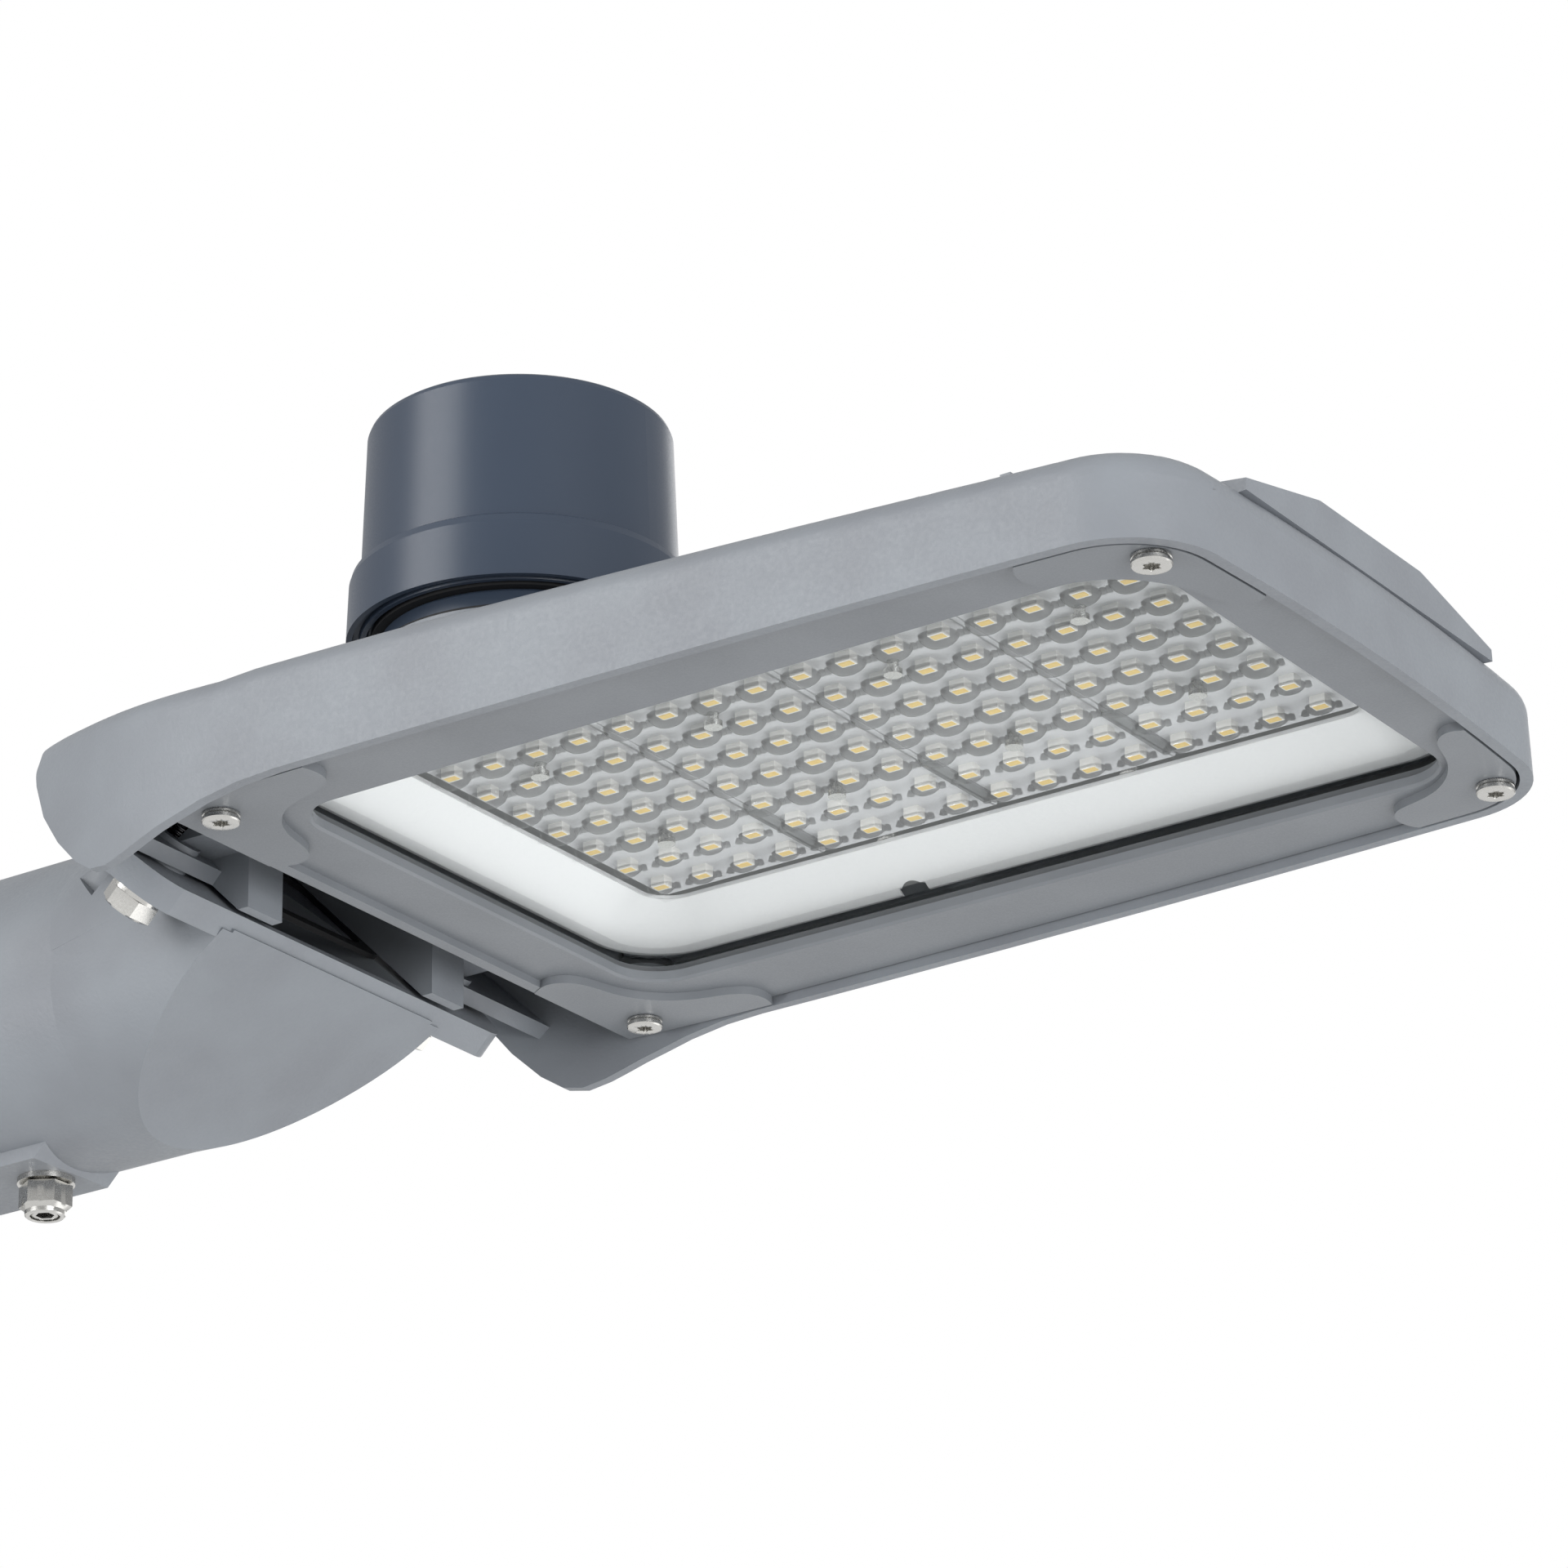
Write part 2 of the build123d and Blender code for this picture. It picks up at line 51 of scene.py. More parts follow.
def addNode(tree, kind, links=None, **settings):
    node = tree.nodes.new(kind)
    for key, value in settings.items():
        if hasattr(node, key):
            setattr(node, key, value)
        else:
            node.inputs[key.replace("_", " ")].default_value = value
    for socket, source in (links or {}).items():
        tree.links.new(source, node.inputs[socket])
    return node


def newMaterial(name):
    material = bpy.data.materials.new(name)
    material.use_nodes = True
    material.node_tree.nodes.clear()
    output = material.node_tree.nodes.new("ShaderNodeOutputMaterial")
    return material, material.node_tree, output


def objectPoint(tree):
    return addNode(tree, "ShaderNodeTexCoord").outputs["Object"]


def blendColour(tree, factor, first, second):
    mix = addNode(tree, "ShaderNodeMix", data_type="RGBA")
    tree.links.new(factor, mix.inputs[0])
    mix.inputs[6].default_value = toLinear(first)
    mix.inputs[7].default_value = toLinear(second)
    return mix.outputs[2]


def span(tree, value, low, high, outLow, outHigh):
    node = addNode(tree, "ShaderNodeMapRange", {0: value})
    for index, number in zip((1, 2, 3, 4), (low, high, outLow, outHigh)):
        node.inputs[index].default_value = number
    return node.outputs[0]


def grainOf(tree, grainMm, detail=3.0, rough=0.55):
    # noise whose blobs are grainMm across
    point = objectPoint(tree)
    return addNode(tree, "ShaderNodeTexNoise", {"Vector": point}, Scale=1 / (grainMm * mm),
                   Detail=detail, Roughness=rough).outputs["Fac"]


def bumpOf(tree, height, depthMm, strength=1.0, base=None):
    links = {"Height": height}
    if base:
        links["Normal"] = base
    return addNode(tree, "ShaderNodeBump", links, Strength=strength,
                   Distance=depthMm * mm).outputs["Normal"]


# Finishes

# how far across each pattern is, in mm; the metal's is coarser than real tool marks, to show
grain = {"coatCloud": 34, "plasticCloud": 22, "glassSmear": 45, "lensHaze": 3,
         "metal": 0.5, "metalDepth": 0.004, "blast": 0.8, "blastDepth": 0.012}


def powderCoat(name, dark, light, peelMm, depthMm, roughness):
    # baked polyester powder over die-cast aluminium: satin, with an orange-peel grain
    material, tree, output = newMaterial(name)
    peel = grainOf(tree, peelMm, 2.0, 0.5)
    cloud = grainOf(tree, grain["coatCloud"], 2.0)
    colour = blendColour(tree, span(tree, cloud, 0.35, 0.65, 0, 1), dark, light)
    shine = span(tree, peel, 0.3, 0.7, roughness - 0.06, roughness + 0.08)
    shader = addNode(tree, "ShaderNodeBsdfPrincipled",
                     {"Base Color": colour, "Roughness": shine,
                      "Normal": bumpOf(tree, peel, depthMm)}, IOR=1.5)
    tree.links.new(shader.outputs[0], output.inputs[0])
    return material


def mouldedPlastic(name, dark, light, grainMm, depthMm, roughness):
    # injection-moulded plastic, rubber or cast gel: even colour, a fine spark-eroded grain
    material, tree, output = newMaterial(name)
    fine = grainOf(tree, grainMm)
    colour = blendColour(tree, grainOf(tree, grain["plasticCloud"], 2.0), dark, light)
    shine = span(tree, fine, 0.3, 0.7, roughness - 0.05, roughness + 0.05)
    shader = addNode(tree, "ShaderNodeBsdfPrincipled",
                     {"Base Color": colour, "Roughness": shine,
                      "Normal": bumpOf(tree, fine, depthMm)}, IOR=1.5)
    tree.links.new(shader.outputs[0], output.inputs[0])
    return material


def mottledMetal(name, dark, light, roughness, across, depth, metallic):
    material, tree, output = newMaterial(name)
    mottle = grainOf(tree, across, 4.0)
    colour = blendColour(tree, mottle, dark, light)
    shine = span(tree, mottle, 0.3, 0.7, roughness - 0.06, roughness + 0.08)
    shader = addNode(tree, "ShaderNodeBsdfPrincipled",
                     {"Base Color": colour, "Roughness": shine,
                      "Normal": bumpOf(tree, mottle, depth)}, Metallic=metallic)
    tree.links.new(shader.outputs[0], output.inputs[0])
    return material


def bareMetal(name, dark, light, roughness):
    # machined or rolled metal: bright, with a fine mottle that breaks up its reflections
    return mottledMetal(name, dark, light, roughness, grain["metal"], grain["metalDepth"], 1.0)


def satinReflector(name, dark, light, roughness):
    # bead-blasted anodised sheet: pale, with a fine sparkle and soft reflections
    return mottledMetal(name, dark, light, roughness, grain["blast"], grain["blastDepth"], 0.45)


def mirrorOver(tree, output, clear, gloss, ior, strength):
    # the outer side of each face mirrors a little over the clear body, as far as ior gives
    edge = addNode(tree, "ShaderNodeFresnel", IOR=ior)
    sideOut = addNode(tree, "ShaderNodeNewGeometry").outputs["Backfacing"]
    factor = addNode(tree, "ShaderNodeMath", {0: edge.outputs[0],
                                              1: span(tree, sideOut, 0, 1, strength, 0)},
                     operation="MULTIPLY").outputs[0]
    mix = addNode(tree, "ShaderNodeMixShader",
                  {0: factor, 1: clear.outputs[0], 2: gloss.outputs[0]})
    tree.links.new(mix.outputs[0], output.inputs[0])


def clearSheet(name, tint, ior, strength):
    # flat toughened glass or sheet plastic: light goes straight through, the faces mirror a little
    material, tree, output = newMaterial(name)
    smear = grainOf(tree, grain["glassSmear"], 2.0)
    gloss = addNode(tree, "ShaderNodeBsdfPrincipled",
                    {"Roughness": span(tree, smear, 0.3, 0.7, 0.02, 0.07)})
    gloss.inputs["Base Color"].default_value = toLinear("#f4f8f8")
    gloss.inputs["Metallic"].default_value = 1.0
    clear = addNode(tree, "ShaderNodeBsdfTransparent")
    clear.inputs[0].default_value = toLinear(tint)
    mirrorOver(tree, output, clear, gloss, ior, strength)
    return material


def clearLens(name, middle, rim, ior, strength):
    # injection-moulded acrylic lens: clear in the middle, grey where one looks along its wall,
    # with a small sharp reflection
    material, tree, output = newMaterial(name)
    haze = grainOf(tree, grain["lensHaze"], 2.0)
    gloss = addNode(tree, "ShaderNodeBsdfPrincipled",
                    {"Roughness": span(tree, haze, 0.3, 0.7, 0.03, 0.12)})
    gloss.inputs["Base Color"].default_value = toLinear("#ffffff")
    gloss.inputs["Metallic"].default_value = 1.0
    facing = addNode(tree, "ShaderNodeLayerWeight", Blend=0.5).outputs["Facing"]
    wall = span(tree, facing, 0.78, 1.0, 0, 1)
    clear = addNode(tree, "ShaderNodeBsdfTransparent", {0: blendColour(tree, wall, middle, rim)})
    mirrorOver(tree, output, clear, gloss, ior, strength)
    return material


# Coats and plastics: darker and lighter colour, grain across and deep in mm, roughness.
# Metals: darker and lighter colour, roughness. Clear pieces: colours, IOR, share of the mirror.
finish = {
    "cast": powderCoat("powderCoatedCasting", "#7e8288", "#858a90", 1.1, 0.07, 0.44),
    "frame": powderCoat("powderCoatedFrame", "#777b80", "#7d8186", 0.5, 0.008, 0.42),
    "rubber": mouldedPlastic("mouldedRubber", "#17181a", "#1d1e20", 0.4, 0.02, 0.7),
    "silicone": mouldedPlastic("siliconeSeal", "#55585b", "#5c5f62", 0.6, 0.01, 0.55),
    "steel": bareMetal("stainlessSteel", "#b9b8b4", "#cfcecb", 0.24),
    "darkSteel": bareMetal("oiledSteelThread", "#3a3a3c", "#565658", 0.26),
    "glass": clearSheet("toughenedGlass", "#fdfefe", 1.5, 0.9),
    "plateClear": clearSheet("acrylicLensPlate", "#fdfdfd", 1.49, 0.6),
    "lens": clearLens("acrylicLens", "#fefefe", "#85898d", 1.49, 0.55),
    "reflector": satinReflector("satinAnodisedReflector", "#e9e9ea", "#f5f5f5", 0.42),
    "board": mouldedPlastic("whiteSolderMask", "#efeff2", "#f5f5f7", 1.6, 0.004, 0.38),
    "chipBody": mouldedPlastic("whiteChipBody", "#eeece6", "#f4f2ee", 0.4, 0.003, 0.4),
    "phosphor": mouldedPlastic("phosphorGel", "#f2c95a", "#f5d67e", 0.3, 0.006, 0.45),
    "copper": mouldedPlastic("bareBoardSlot", "#777879", "#8b8c8e", 0.6, 0.01, 0.5),
    "whiteAbs": mouldedPlastic("mouldedWhiteCase", "#d9dad9", "#e1e1e0", 0.7, 0.01, 0.5),
    "blackAbs": mouldedPlastic("mouldedBlackNylon", "#1a1b1d", "#202124", 0.6, 0.015, 0.55),
    "node": mouldedPlastic("mouldedNodeHousing", "#343f4f", "#384353", 0.5, 0.006, 0.33),
    "mill": bareMetal("millAluminium", "#a9abac", "#b8babb", 0.4),
    "brass": bareMetal("pressedBrass", "#b99a55", "#cbb06a", 0.3),
}

nodeFinish = {
    "cast": ("housing", "mast_adaptor"),
    "frame": ("bottom_frame",),
    "rubber": ("frame_gasket", "flange_gasket", "socket_gasket", "node_gasket"),
    "silicone": ("glass_seal",),
    "steel": ("flange_washers", "spring_washers", "clamp_washers", "carrier_screws",
              "driver_screws", "lens_screws"),
    "glass": ("cover_glass",),
    "reflector": ("reflector_tray",),
    "board": ("led_boards",),
    "whiteAbs": ("driver", "terminal_block"),
    "blackAbs": ("cable_gland", "vent_plug"),
    "node": ("node_base", "node_cap", "node_socket"),
    "copper": ("board_links",),
    "mill": ("carrier_plate",),
    "brass": ("node_contacts",),
}
for key, names in nodeFinish.items():
    for name in names:
        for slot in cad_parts[name].material_slots:
            slot.material = finish[key]
print("finishes set")


# Turned and hexagonal pieces: rings of (radius, height, form) joined into a closed skin.
# Every length is in mm, from the seat of the piece.

def ringRadius(form, radius, angle):
    if form == "hex":
        fold = (angle + math.pi / 6) % (math.pi / 3) - math.pi / 6
        return radius / math.cos(fold)
    if form == "star":
        return radius * (1 + 0.17 * math.cos(6 * angle))
    return radius


def ringPiece(name, rings, segments=48):
    mesh = bpy.data.meshes.new(name)
    work = bmesh.new()
    rows = []
    for radius, height, form in rings:
        row = []
        for k in range(segments):
            angle = 2 * math.pi * k / segments
            r = ringRadius(form, radius, angle) * mm
            row.append(work.verts.new((r * math.cos(angle), r * math.sin(angle), height * mm)))
        rows.append(row)
    for low, high in zip(rows, rows[1:]):
        for k in range(segments):
            n = (k + 1) % segments
            work.faces.new((low[k], low[n], high[n], high[k]))
    for row, height in ((rows[0], rings[0][1]), (rows[-1], rings[-1][1])):
        middle = work.verts.new((0, 0, height * mm))
        for k in range(segments):
            work.faces.new((row[k], row[(k + 1) % segments], middle))
    bmesh.ops.recalc_face_normals(work, faces=work.faces)
    work.to_mesh(mesh)
    work.free()
    return bpy.data.objects.new(name, mesh)


def threadRings(radius, start, end, pitch):
    # a narrow root, a rising flank and a narrow crest for each turn
    rows = []
    depth = 0.55 * pitch
    count = int((end - start) / pitch)
    for k in range(count):
        z = start + k * pitch
        rows += [(radius - depth, z, "round"), (radius - depth, z + 0.14 * pitch, "round"),
                 (radius, z + 0.45 * pitch, "round"), (radius, z + 0.62 * pitch, "round")]
    return rows + [(radius - depth, start + count * pitch, "round")]


def pointTree():
    # a piece repeated on the points of the object that carries the modifier
    tree = bpy.data.node_groups.new("repeatOnPoints", "GeometryNodeTree")
    face = tree.interface
    face.new_socket("Geometry", in_out="INPUT", socket_type="NodeSocketGeometry")
    face.new_socket("Piece", in_out="INPUT", socket_type="NodeSocketObject")
    face.new_socket("Turn", in_out="INPUT", socket_type="NodeSocketRotation")
    face.new_socket("Finish", in_out="INPUT", socket_type="NodeSocketMaterial")
    face.new_socket("Geometry", in_out="OUTPUT", socket_type="NodeSocketGeometry")
    start = addNode(tree, "NodeGroupInput")
    piece = addNode(tree, "GeometryNodeObjectInfo", {"Object": start.outputs["Piece"]})
    onPoints = addNode(tree, "GeometryNodeInstanceOnPoints",
                       {"Points": start.outputs["Geometry"], "Instance": piece.outputs["Geometry"],
                        "Rotation": start.outputs["Turn"]})
    real = addNode(tree, "GeometryNodeRealizeInstances", {"Geometry": onPoints.outputs[0]})
    painted = addNode(tree, "GeometryNodeSetMaterial",
                      {"Geometry": real.outputs[0], "Material": start.outputs["Finish"]})
    addNode(tree, "NodeGroupOutput", {"Geometry": painted.outputs[0]})
    return tree


def gridTree():
    # a piece repeated on a rectangular field
    tree = bpy.data.node_groups.new("repeatOnGrid", "GeometryNodeTree")
    face = tree.interface
    face.new_socket("Geometry", in_out="INPUT", socket_type="NodeSocketGeometry")
    face.new_socket("Piece", in_out="INPUT", socket_type="NodeSocketObject")
    for label, kind in (("Columns", "NodeSocketInt"), ("Rows", "NodeSocketInt"),
                        ("Pitch X", "NodeSocketFloat"), ("Pitch Y", "NodeSocketFloat"),
                        ("Centre", "NodeSocketVector"), ("Finish", "NodeSocketMaterial")):
        face.new_socket(label, in_out="INPUT", socket_type=kind)
    face.new_socket("Geometry", in_out="OUTPUT", socket_type="NodeSocketGeometry")
    start = addNode(tree, "NodeGroupInput")
    sizes = []
    for count, pitch in (("Columns", "Pitch X"), ("Rows", "Pitch Y")):
        gaps = addNode(tree, "ShaderNodeMath", {0: start.outputs[count]}, operation="SUBTRACT")
        gaps.inputs[1].default_value = 1
        size = addNode(tree, "ShaderNodeMath", {0: gaps.outputs[0], 1: start.outputs[pitch]},
                       operation="MULTIPLY")
        sizes.append(size.outputs[0])
    grid = addNode(tree, "GeometryNodeMeshGrid",
                   {"Size X": sizes[0], "Size Y": sizes[1], "Vertices X": start.outputs["Columns"],
                    "Vertices Y": start.outputs["Rows"]})
    placed = addNode(tree, "GeometryNodeTransform",
                     {"Geometry": grid.outputs[0], "Translation": start.outputs["Centre"]})
    piece = addNode(tree, "GeometryNodeObjectInfo", {"Object": start.outputs["Piece"]})
    onPoints = addNode(tree, "GeometryNodeInstanceOnPoints",
                       {"Points": placed.outputs[0], "Instance": piece.outputs["Geometry"]})
    real = addNode(tree, "GeometryNodeRealizeInstances", {"Geometry": onPoints.outputs[0]})
    painted = addNode(tree, "GeometryNodeSetMaterial",
                      {"Geometry": real.outputs[0], "Material": start.outputs["Finish"]})
    addNode(tree, "NodeGroupOutput", {"Geometry": painted.outputs[0]})
    return tree


repeatOnPoints = pointTree()
repeatOnGrid = gridTree()


def plainMesh(name, carrier, body):
    # the evaluated result becomes a plain mesh piece on its body
    bpy.context.view_layer.update()
    graph = bpy.context.evaluated_depsgraph_get()
    mesh = bpy.data.meshes.new_from_object(carrier.evaluated_get(graph))
    mesh.name = name
    piece = bpy.data.objects.new(name, mesh)
    bpy.context.scene.collection.objects.link(piece)
    bpy.data.objects.remove(carrier)
    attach(piece, body)
    return piece


def runTree(name, tree, points, inputs, body):
    mesh = bpy.data.meshes.new(name + "Points")
    mesh.from_pydata([tuple(p) for p in points], [], [])
    carrier = bpy.data.objects.new(name + "Carrier", mesh)
    bpy.context.scene.collection.objects.link(carrier)
    modifier = carrier.modifiers.new("repeat", "NODES")
    modifier.node_group = tree
    for item in tree.interface.items_tree:
        if item.item_type == "SOCKET" and item.in_out == "INPUT" and item.name in inputs:
            modifier[item.identifier] = inputs[item.name]
    return plainMesh(name, carrier, body)


def smooth(piece, angle=35):
    for polygon in piece.data.polygons:
        polygon.use_smooth = True
    piece.data.set_sharp_from_angle(angle=math.radians(angle))


def onPoints(name, part, spots, material, body, turn=(0, 0, 0), replaced=None, angle=35):
    inputs = {"Piece": part, "Turn": turn, "Finish": material}
    piece = runTree(name, repeatOnPoints, spots, inputs, body)
    smooth(piece, angle)
    bpy.data.objects.remove(part)
    if replaced:
        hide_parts(replaced)
    return piece


def at(x, y, z):
    return ledCentre + Vector((x, y, z)) * mm


# Lens plates, lenses and chips

lampField = {
    "pitchX": 13.7, "pitchY": 15.6, "columns": 16, "wideRows": 6, "slimRows": 2,
    "wideLens": (5.6, 4.4, 3.3), "slimLens": (4.5, 2.9, 2.5),
    "plateFace": -2.3, "plateThick": 1.3, "plateWide": 54.3, "plateLong": 131.0, "plateEdge": 0.35,
    "chipBody": ((-2.2, -1.8, -2.75), (2.2, 1.8, 0)),
    "chipGel": ((-1.8, -1.15, -2.87), (1.8, 1.15, -2.6)),
    "lensClear": 0.03, "waist": 0.10, "footWide": 1.15, "footTip": 0.8, "footHigh": 1.3,
    "footOut": 0.35, "footAside": 0.5,
}


def lensPiece(name, halfLong, halfWide, high):
    # a bean-shaped dome with a small foot at each end
    f = lampField
    mesh = bpy.data.meshes.new(name)
    work = bmesh.new()
    turns, levels = 28, 6
    rows = []
    for level in range(levels + 1):
        rise = math.pi / 2 * level / (levels + 0.6)
        row = []
        for k in range(turns):
            a = 2 * math.pi * k / turns
            pinch = 1 - f["waist"] * math.cos(2 * a) ** 2 * math.cos(rise)
            row.append(work.verts.new((halfLong * math.cos(rise) * math.cos(a) * pinch * mm,
                                       halfWide * math.cos(rise) * math.sin(a) * pinch * mm,
                                       -high * math.sin(rise) * mm)))
        rows.append(row)
    for low, top in zip(rows, rows[1:]):
        for k in range(turns):
            n = (k + 1) % turns
            work.faces.new((low[k], low[n], top[n], top[k]))
    for row, z in ((rows[0], 0.0), (rows[-1], -high)):
        middle = work.verts.new((0, 0, z * mm))
        for k in range(turns):
            work.faces.new((row[k], row[(k + 1) % turns], middle))
    for side in (-1, 1):
        foot = bmesh.ops.create_cone(work, cap_ends=True, segments=10, depth=f["footHigh"] * mm,
                                     radius1=f["footWide"] * mm, radius2=f["footTip"] * mm)
        bmesh.ops.translate(work, verts=foot["verts"],
                            vec=((halfLong + f["footOut"]) * side * mm, f["footAside"] * mm,
                                 -f["footHigh"] / 2 * mm))
    bmesh.ops.recalc_face_normals(work, faces=work.faces)
    work.to_mesh(mesh)
    work.free()
    return bpy.data.objects.new(name, mesh)


def onGrid(name, part, rows, centreY, z, material, body):
    inputs = {"Piece": part, "Columns": lampField["columns"], "Rows": rows,
              "Pitch X": lampField["pitchX"] * mm, "Pitch Y": lampField["pitchY"] * mm,
              "Centre": at(0, centreY, z), "Finish": material}
    piece = runTree(name, repeatOnGrid, [(0, 0, 0)], inputs, body)
    smooth(piece, 50)
    bpy.data.objects.remove(part)
    return piece


def blockPiece(name, boxes):
    mesh = bpy.data.meshes.new(name)
    work = bmesh.new()
    for low, high in boxes:
        cube = bmesh.ops.create_cube(work, size=1)
        size = Vector(high) - Vector(low)
        middle = (Vector(high) + Vector(low)) / 2
        bmesh.ops.scale(work, verts=cube["verts"], vec=size)
        bmesh.ops.translate(work, verts=cube["verts"], vec=middle)
    work.to_mesh(mesh)
    work.free()
    return bpy.data.objects.new(name, mesh)


def buildLamps():
    f = lampField
    allRows = f["wideRows"] + f["slimRows"]
    lensFoot = f["plateFace"] - f["lensClear"]
    wide = onGrid("wideLenses", lensPiece("wideLens", *f["wideLens"]), f["wideRows"],
                  -f["pitchY"] * f["slimRows"] / 2, lensFoot, finish["lens"], "head")
    slim = onGrid("slimLenses", lensPiece("slimLens", *f["slimLens"]), f["slimRows"],
                  f["pitchY"] * f["wideRows"] / 2, lensFoot, finish["lens"], "head")
    # the lens makes its chip look lifted, so the chip stands up to the lens foot
    body, gel = [blockPiece(name, [[Vector(corner) * mm for corner in f[name]]])
                 for name in ("chipBody", "chipGel")]
    bodies = onGrid("chipBodies", body, allRows, 0, 0, finish["chipBody"], "head")
    gels = onGrid("chipGels", gel, allRows, 0, 0, finish["phosphor"], "head")
    plates = []
    for k in range(4):
        x = (k - 1.5) * 4 * f["pitchX"]
        w, h = f["plateWide"] / 2, f["plateLong"] / 2
        plates.append((at(x - w, -h, f["plateFace"]),
                       at(x + w, h, f["plateFace"] + f["plateThick"])))
    plate = blockPiece("lensPlates", plates)
    bpy.context.scene.collection.objects.link(plate)
    bevel = plate.modifiers.new("edge", "BEVEL")
    bevel.width = f["plateEdge"] * mm
    bevel.segments = 2
    plate.data.materials.append(finish["plateClear"])
    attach(plate, "head")
    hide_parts("lens_plates")
    for piece in (wide, slim):
        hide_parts("lens_plates")
    for piece in (wide, slim, plate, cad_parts["cover_glass"]):
        piece.visible_shadow = False  # clear pieces leave the light on the boards whole
    for piece in (bodies, gels):
        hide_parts("led_packages")


buildLamps()
print("lamp field built")


# Fasteners

screwHead = {"radius": 5.0, "height": 2.8, "groove": 0.35, "recess": 2.0, "padFace": -22.4,
             "spots": ((-135.5, 92.3), (135.5, 84.2))}


def frameScrew():
    s = screwHead
    r, h = s["radius"], s["height"]
    neck = r - s["groove"] - 0.1
    rings = [(2.1, 21.4, "round"), (2.1, 0.6, "round"), (r - 0.4, 0.0, "round"),
             (r - 0.1, -0.3, "round"), (r - 0.1, -0.9, "round"), (neck, -1.1, "round"),
             (neck, -1.35, "round"), (r, -1.55, "round"), (r, -h + 0.5, "round"),
             (r - 0.3, -h + 0.12, "round"), (r - 0.9, -h, "round"),
             (s["recess"] + 0.35, -h, "round"), (s["recess"], -h + 0.12, "star"),
             (s["recess"] * 0.93, -h + 1.7, "star")]
    return ringPiece("frameScrewHead", rings, 60)


def screwSpots(spots, z):
    return [at(x, side * y, z) for x, y in spots for side in (-1, 1)]


onPoints("frameScrews", frameScrew(), screwSpots(screwHead["spots"], screwHead["padFace"]),
         finish["steel"], "cover", replaced="frame_screws")

flangeBolt = {"across": 13.0, "headLow": -8.9, "headHigh": -3.65, "radius": 3.95,
              "tip": 20.0, "pitch": 1.25, "spots": ((8.1, 59.0), (46.0, 46.0)),
              "root": (-178.1, -17.7), "plate": 8.0}


def boltSpots():
    half = math.sqrt(0.5)  # the flange lies at 45 degrees
    spots = []
    for u, y in flangeBolt["spots"]:
        x = flangeBolt["root"][0] - half * (u + flangeBolt["plate"])
        z = flangeBolt["root"][1] + half * (u - flangeBolt["plate"])
        spots += [at(x, side * y, z) for side in (-1, 1)]
    return spots


def boltHead():
    b = flangeBolt
    h = b["across"] / 2
    rings = [(h - 1.0, b["headLow"], "round"), (h - 0.3, b["headLow"] + 0.02, "round"),
             (h - 0.02, b["headLow"] + 0.55, "hex"), (h, b["headLow"] + 0.7, "hex"),
             (h, b["headHigh"] - 0.1, "hex"), (h - 0.2, b["headHigh"], "hex"),
             (b["radius"] - 0.2, b["headHigh"], "round"), (b["radius"] - 0.2, 0.5, "round")]
    return ringPiece("boltHead", rings, 72)


def boltThread():
    b = flangeBolt
    rings = threadRings(b["radius"], 0.2, b["tip"] - 1.0, b["pitch"])
    rings += [(b["radius"] - 1.0, b["tip"] - 0.05, "round")]
    return ringPiece("boltThread", rings, 40)


slant = (0, math.radians(45), 0)
onPoints("flangeBoltHeads", boltHead(), boltSpots(), finish["steel"], "head", slant,
         "flange_bolts", 25)
onPoints("flangeBoltThreads", boltThread(), boltSpots(), finish["darkSteel"], "head", slant,
         "flange_bolts", 40)

clamp = {"spots": (("screw_front", "clamp_screw_front", -272.4),
                   ("screw_rear", "clamp_screw_rear", -316.4)),
         "radius": 3.95, "low": -77.0, "high": -60.4, "socket": 2.3, "pitch": 1.25,
         "nutFace": -68.05, "across": 13.0}


def clampStud():
    c = clamp
    rings = [(c["socket"] * 0.98, c["low"] + 5, "hex"), (c["socket"], c["low"] + 0.1, "hex"),
             (3.0, c["low"], "round"), (3.5, c["low"] + 0.05, "round")]
    rings += threadRings(c["radius"], c["low"] + 0.7, c["high"] - 1.2, c["pitch"])
    rings += [(2.6, c["high"], "round")]
    return ringPiece("clampStud", rings, 48)


def clampNut():
    h = clamp["across"] / 2
    rings = [(4.1, 0.0, "round"), (h - 0.6, 0.0, "round"), (h - 0.05, -0.5, "hex"),
             (h, -0.7, "hex"), (h, -6.6, "hex"), (h - 0.25, -7.2, "round"), (5.7, -7.9, "round"),
             (5.6, -9.0, "round"), (5.2, -9.35, "round"), (4.4, -9.4, "round"),
             (4.1, -9.2, "round")]
    return ringPiece("clampNut", rings, 72)


def openRings(piece):
    # the two end caps come off a ring-shaped piece, and its wall is closed through the middle
    work = bmesh.new()
    work.from_mesh(piece.data)
    tips = [v for v in work.verts if v.co.xy.length < 1e-7]
    bmesh.ops.delete(work, geom=tips, context="VERTS")
    edges = [e for e in work.edges if e.is_boundary]
    bmesh.ops.bridge_loops(work, edges=edges)
    bmesh.ops.recalc_face_normals(work, faces=work.faces)
    work.to_mesh(piece.data)
    work.free()
    return piece


for body, node, x in clamp["spots"]:
    onPoints("stud_" + body, clampStud(), [at(x, 0, 0)], finish["steel"], body, replaced=node)
nutSpots = [at(x, 0, clamp["nutFace"]) for _, _, x in clamp["spots"]]
onPoints("clampNuts", openRings(clampNut()), nutSpots, finish["steel"], "head",
         replaced="clamp_nuts", angle=25)
print("fasteners built")


# Floor, backdrop, lamps and camera

studio = {"floor": -1.35, "size": 12.0, "floorColour": "#dddddd", "white": "#ffffff",
          "worldLevel": 0.57}


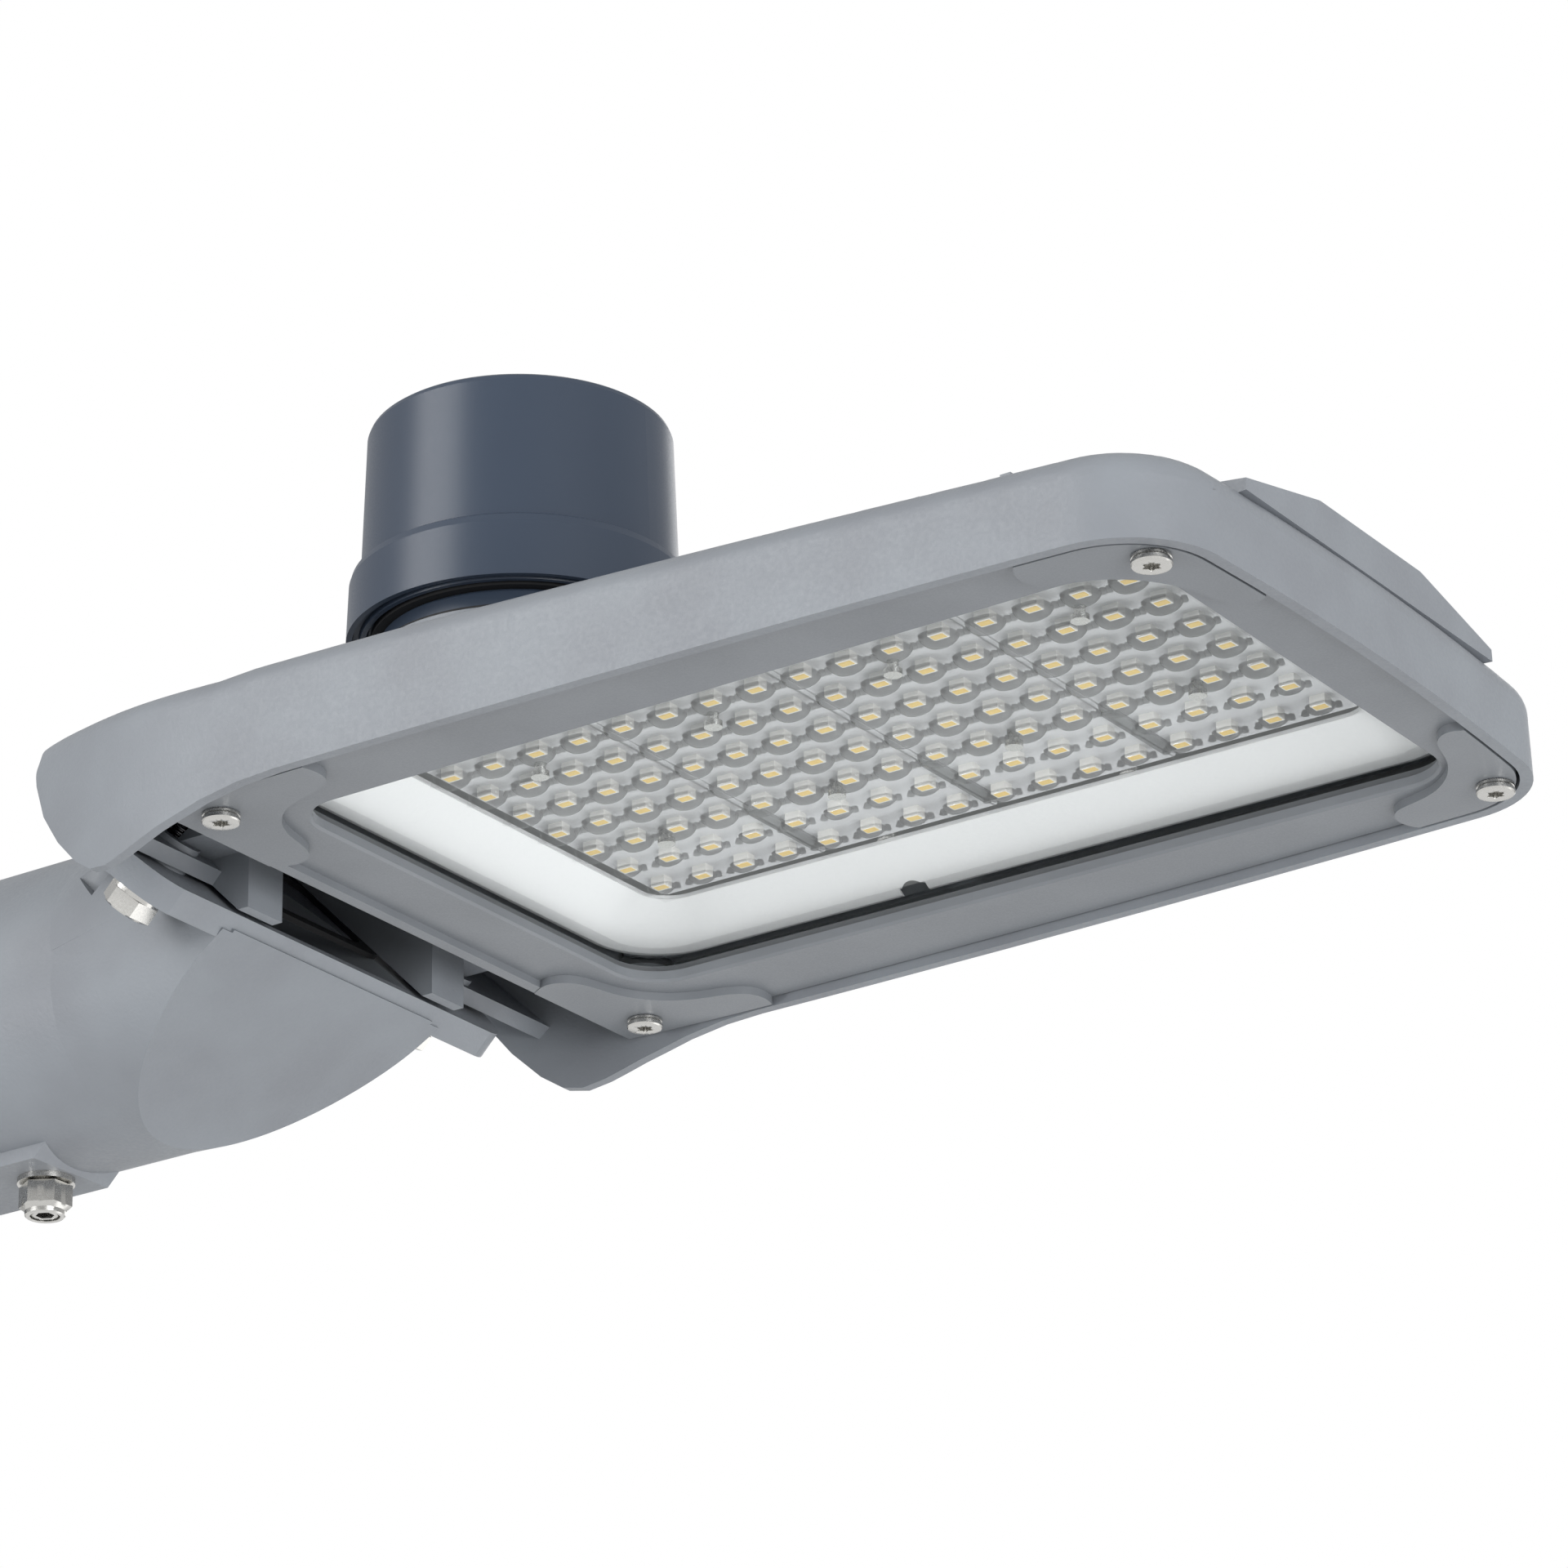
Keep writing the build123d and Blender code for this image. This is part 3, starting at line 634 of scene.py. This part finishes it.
def seenBy(tree, rays):
    # 1 for a ray of one of the named kinds
    path = addNode(tree, "ShaderNodeLightPath")
    seen = path.outputs[rays[0]]
    for ray in rays[1:]:
        seen = addNode(tree, "ShaderNodeMath", {0: seen, 1: path.outputs[ray]},
                       operation="MAXIMUM").outputs[0]
    return seen


def paleMaterial():
    material, tree, output = newMaterial("paleStudioFloor")
    seen = seenBy(tree, ("Is Camera Ray", "Is Glossy Ray", "Is Transmission Ray"))
    diffuse = addNode(tree, "ShaderNodeBsdfDiffuse")
    diffuse.inputs[0].default_value = toLinear(studio["floorColour"])
    glow = addNode(tree, "ShaderNodeEmission", Strength=1.0)
    mix = addNode(tree, "ShaderNodeMixShader", {0: seen, 1: diffuse.outputs[0],
                                                2: glow.outputs[0]})
    tree.links.new(mix.outputs[0], output.inputs[0])
    return material


def buildStudio():
    half, z = studio["size"] / 2, studio["floor"]
    mesh = bpy.data.meshes.new("floor")
    mesh.from_pydata([(-half, -half, z), (half, -half, z), (half, half, z), (-half, half, z)],
                     [], [(0, 1, 2, 3)])
    floor = bpy.data.objects.new("floor", mesh)
    bpy.context.scene.collection.objects.link(floor)
    floor.data.materials.append(paleMaterial())
    world = bpy.data.worlds.new("studioWorld")
    bpy.context.scene.world = world
    world.use_nodes = True
    tree = world.node_tree
    tree.nodes.clear()
    seen = seenBy(tree, ("Is Camera Ray", "Is Transmission Ray"))
    level = span(tree, seen, 0, 1, studio["worldLevel"], 1.0)
    back = addNode(tree, "ShaderNodeBackground", {"Strength": level})
    back.inputs[0].default_value = toLinear(studio["white"])
    addNode(tree, "ShaderNodeOutputWorld", {0: back.outputs[0]})


# name, place, width in metres, watts
lampSetup = (
    ("keyLamp", (-0.9, -2.2, 1.3), 1.6, 30.0),
    ("frontLamp", (2.5, -0.9, -0.3), 1.5, 42.0),
    ("sideLamp", (-0.7, -1.8, -0.35), 0.5, 11.0),
    ("underLamp", (0.9, 0.9, -1.2), 1.4, 6.0),
    ("farLamp", (-0.6, 2.2, 0.8), 1.6, 10.0),
)


def buildLights():
    for name, place, size, watts in lampSetup:
        light = bpy.data.lights.new(name, "AREA")
        light.size = size
        light.energy = watts
        lamp = bpy.data.objects.new(name, light)
        lamp.location = place
        aim = ledCentre - Vector(place)
        lamp.rotation_euler = aim.to_track_quat("-Z", "Y").to_euler()
        bpy.context.scene.collection.objects.link(lamp)


# fitted to the photograph; the offset is in mm from the middle of the lamp field
cameraSetup = {
    "lens": 134.06, "sensor": 36, "clip": (0.05, 50), "offset": (749.8, -1145.8, -597.4),
    "right": (0.82475, 0.56531, -0.01479), "up": (0.23210, -0.31454, 0.92043),
    "forward": (-0.51568, 0.76255, 0.39063),
}


def buildCamera():
    data = bpy.data.cameras.new("photoCamera")
    data.lens = cameraSetup["lens"]
    data.sensor_width = cameraSetup["sensor"]
    data.clip_start, data.clip_end = cameraSetup["clip"]
    camera = bpy.data.objects.new("photoCamera", data)
    right, up = Vector(cameraSetup["right"]), Vector(cameraSetup["up"])
    back = -Vector(cameraSetup["forward"])
    turn = Matrix((right, up, back)).transposed().to_4x4()
    camera.matrix_world = Matrix.Translation(at(*cameraSetup["offset"])) @ turn
    bpy.context.scene.collection.objects.link(camera)
    bpy.context.scene.camera = camera


buildStudio()
buildLights()
buildCamera()
bpy.context.scene.view_settings.view_transform = "Standard"
print("studio built")
